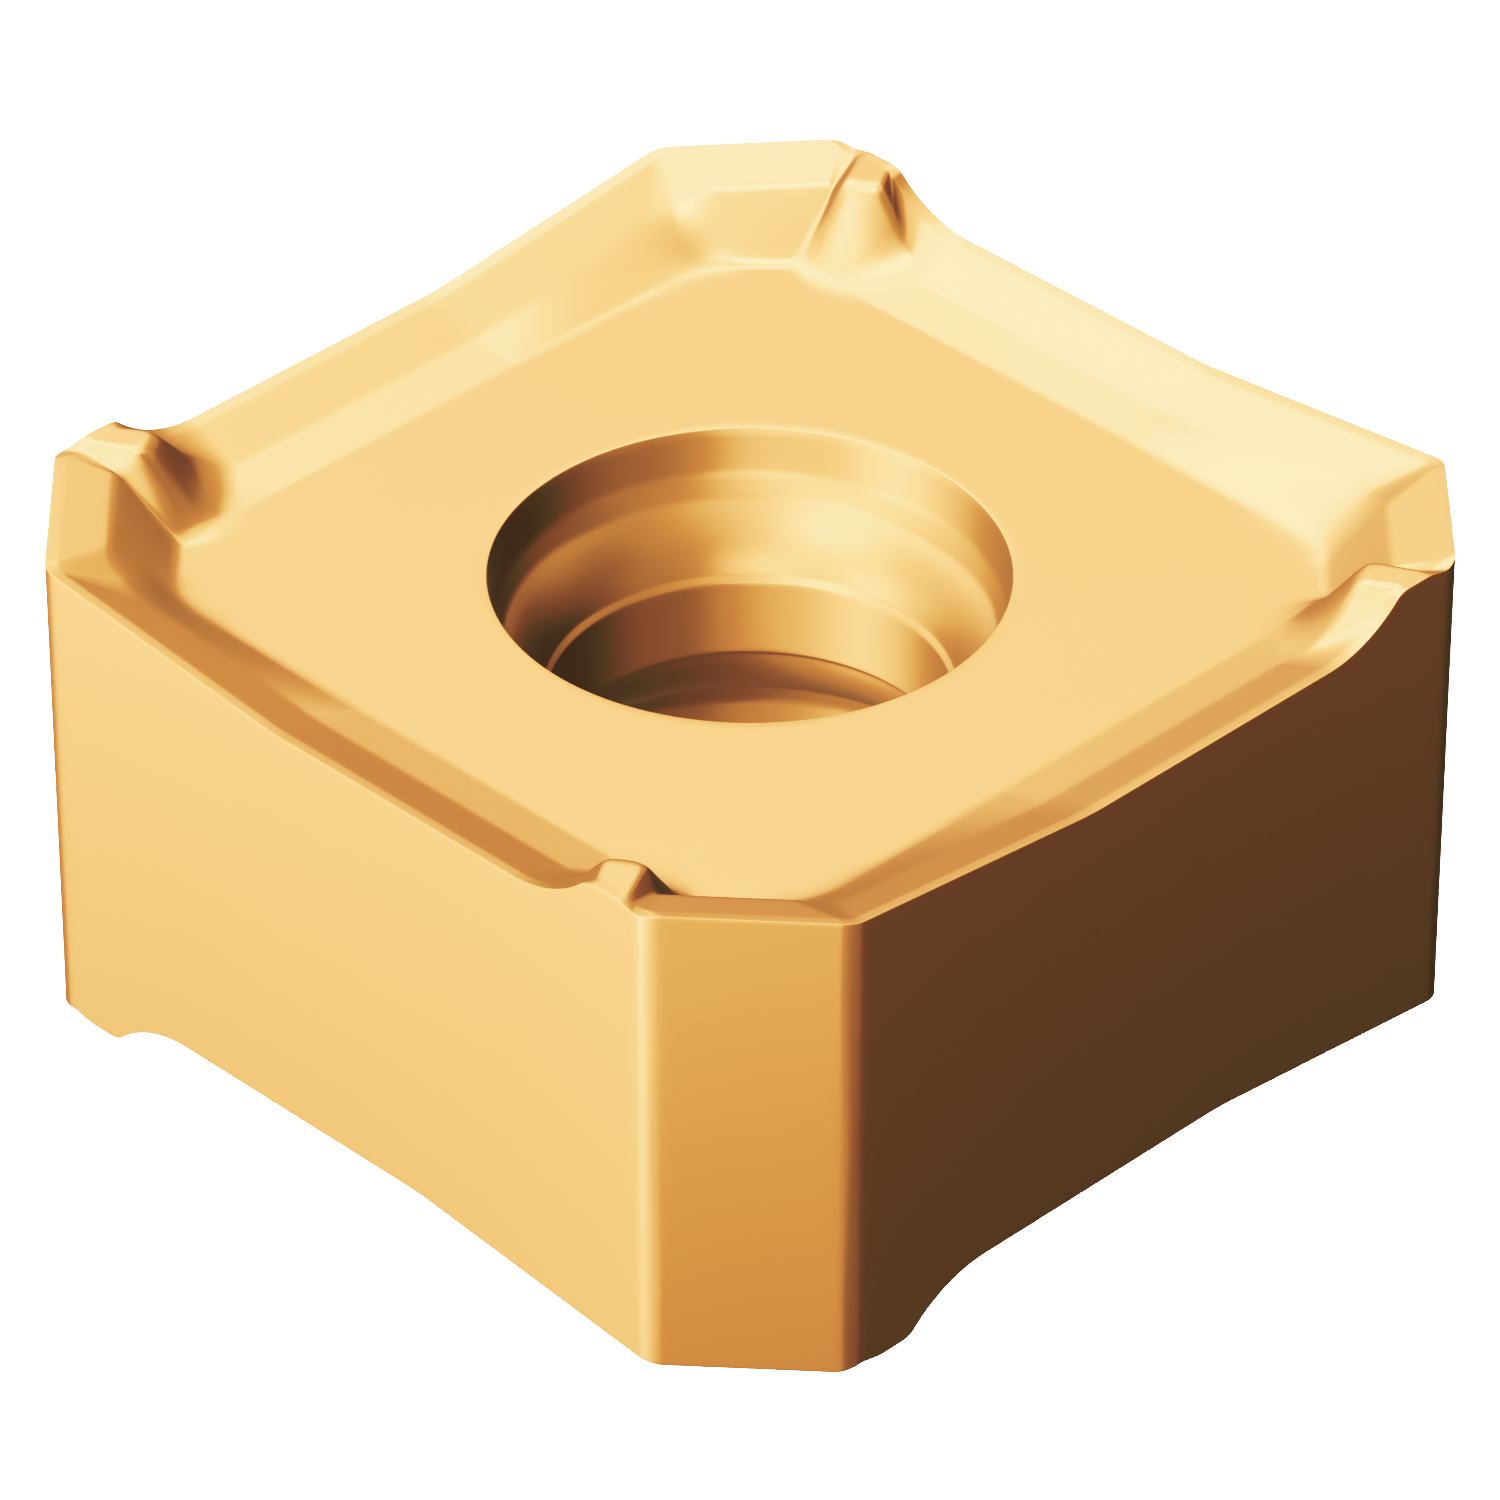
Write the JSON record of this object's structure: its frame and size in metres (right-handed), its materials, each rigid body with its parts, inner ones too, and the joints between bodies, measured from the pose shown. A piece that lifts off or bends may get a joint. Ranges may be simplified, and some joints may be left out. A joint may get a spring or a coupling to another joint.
{
  "type": "square indexable carbide milling insert",
  "caption": "Double-sided square milling insert with cut corners, raised corner nubs, sculpted rake faces and a countersunk hole for a clamping screw.",
  "frame": {"origin": "centre of the insert, on the screw hole's axis, midway between the two seat faces", "axes": "+Z along the screw hole's axis out of the face seen in the picture; X and Y square to the four long flanks"},
  "size_m": [0.013, 0.013, 0.0064],
  "materials": {
    "coated_carbide": "satin gold hard coating over sintered carbide"
  },
  "bodies": {
    "root": {"insert_body": "coated_carbide"}
  },
  "joints": []
}
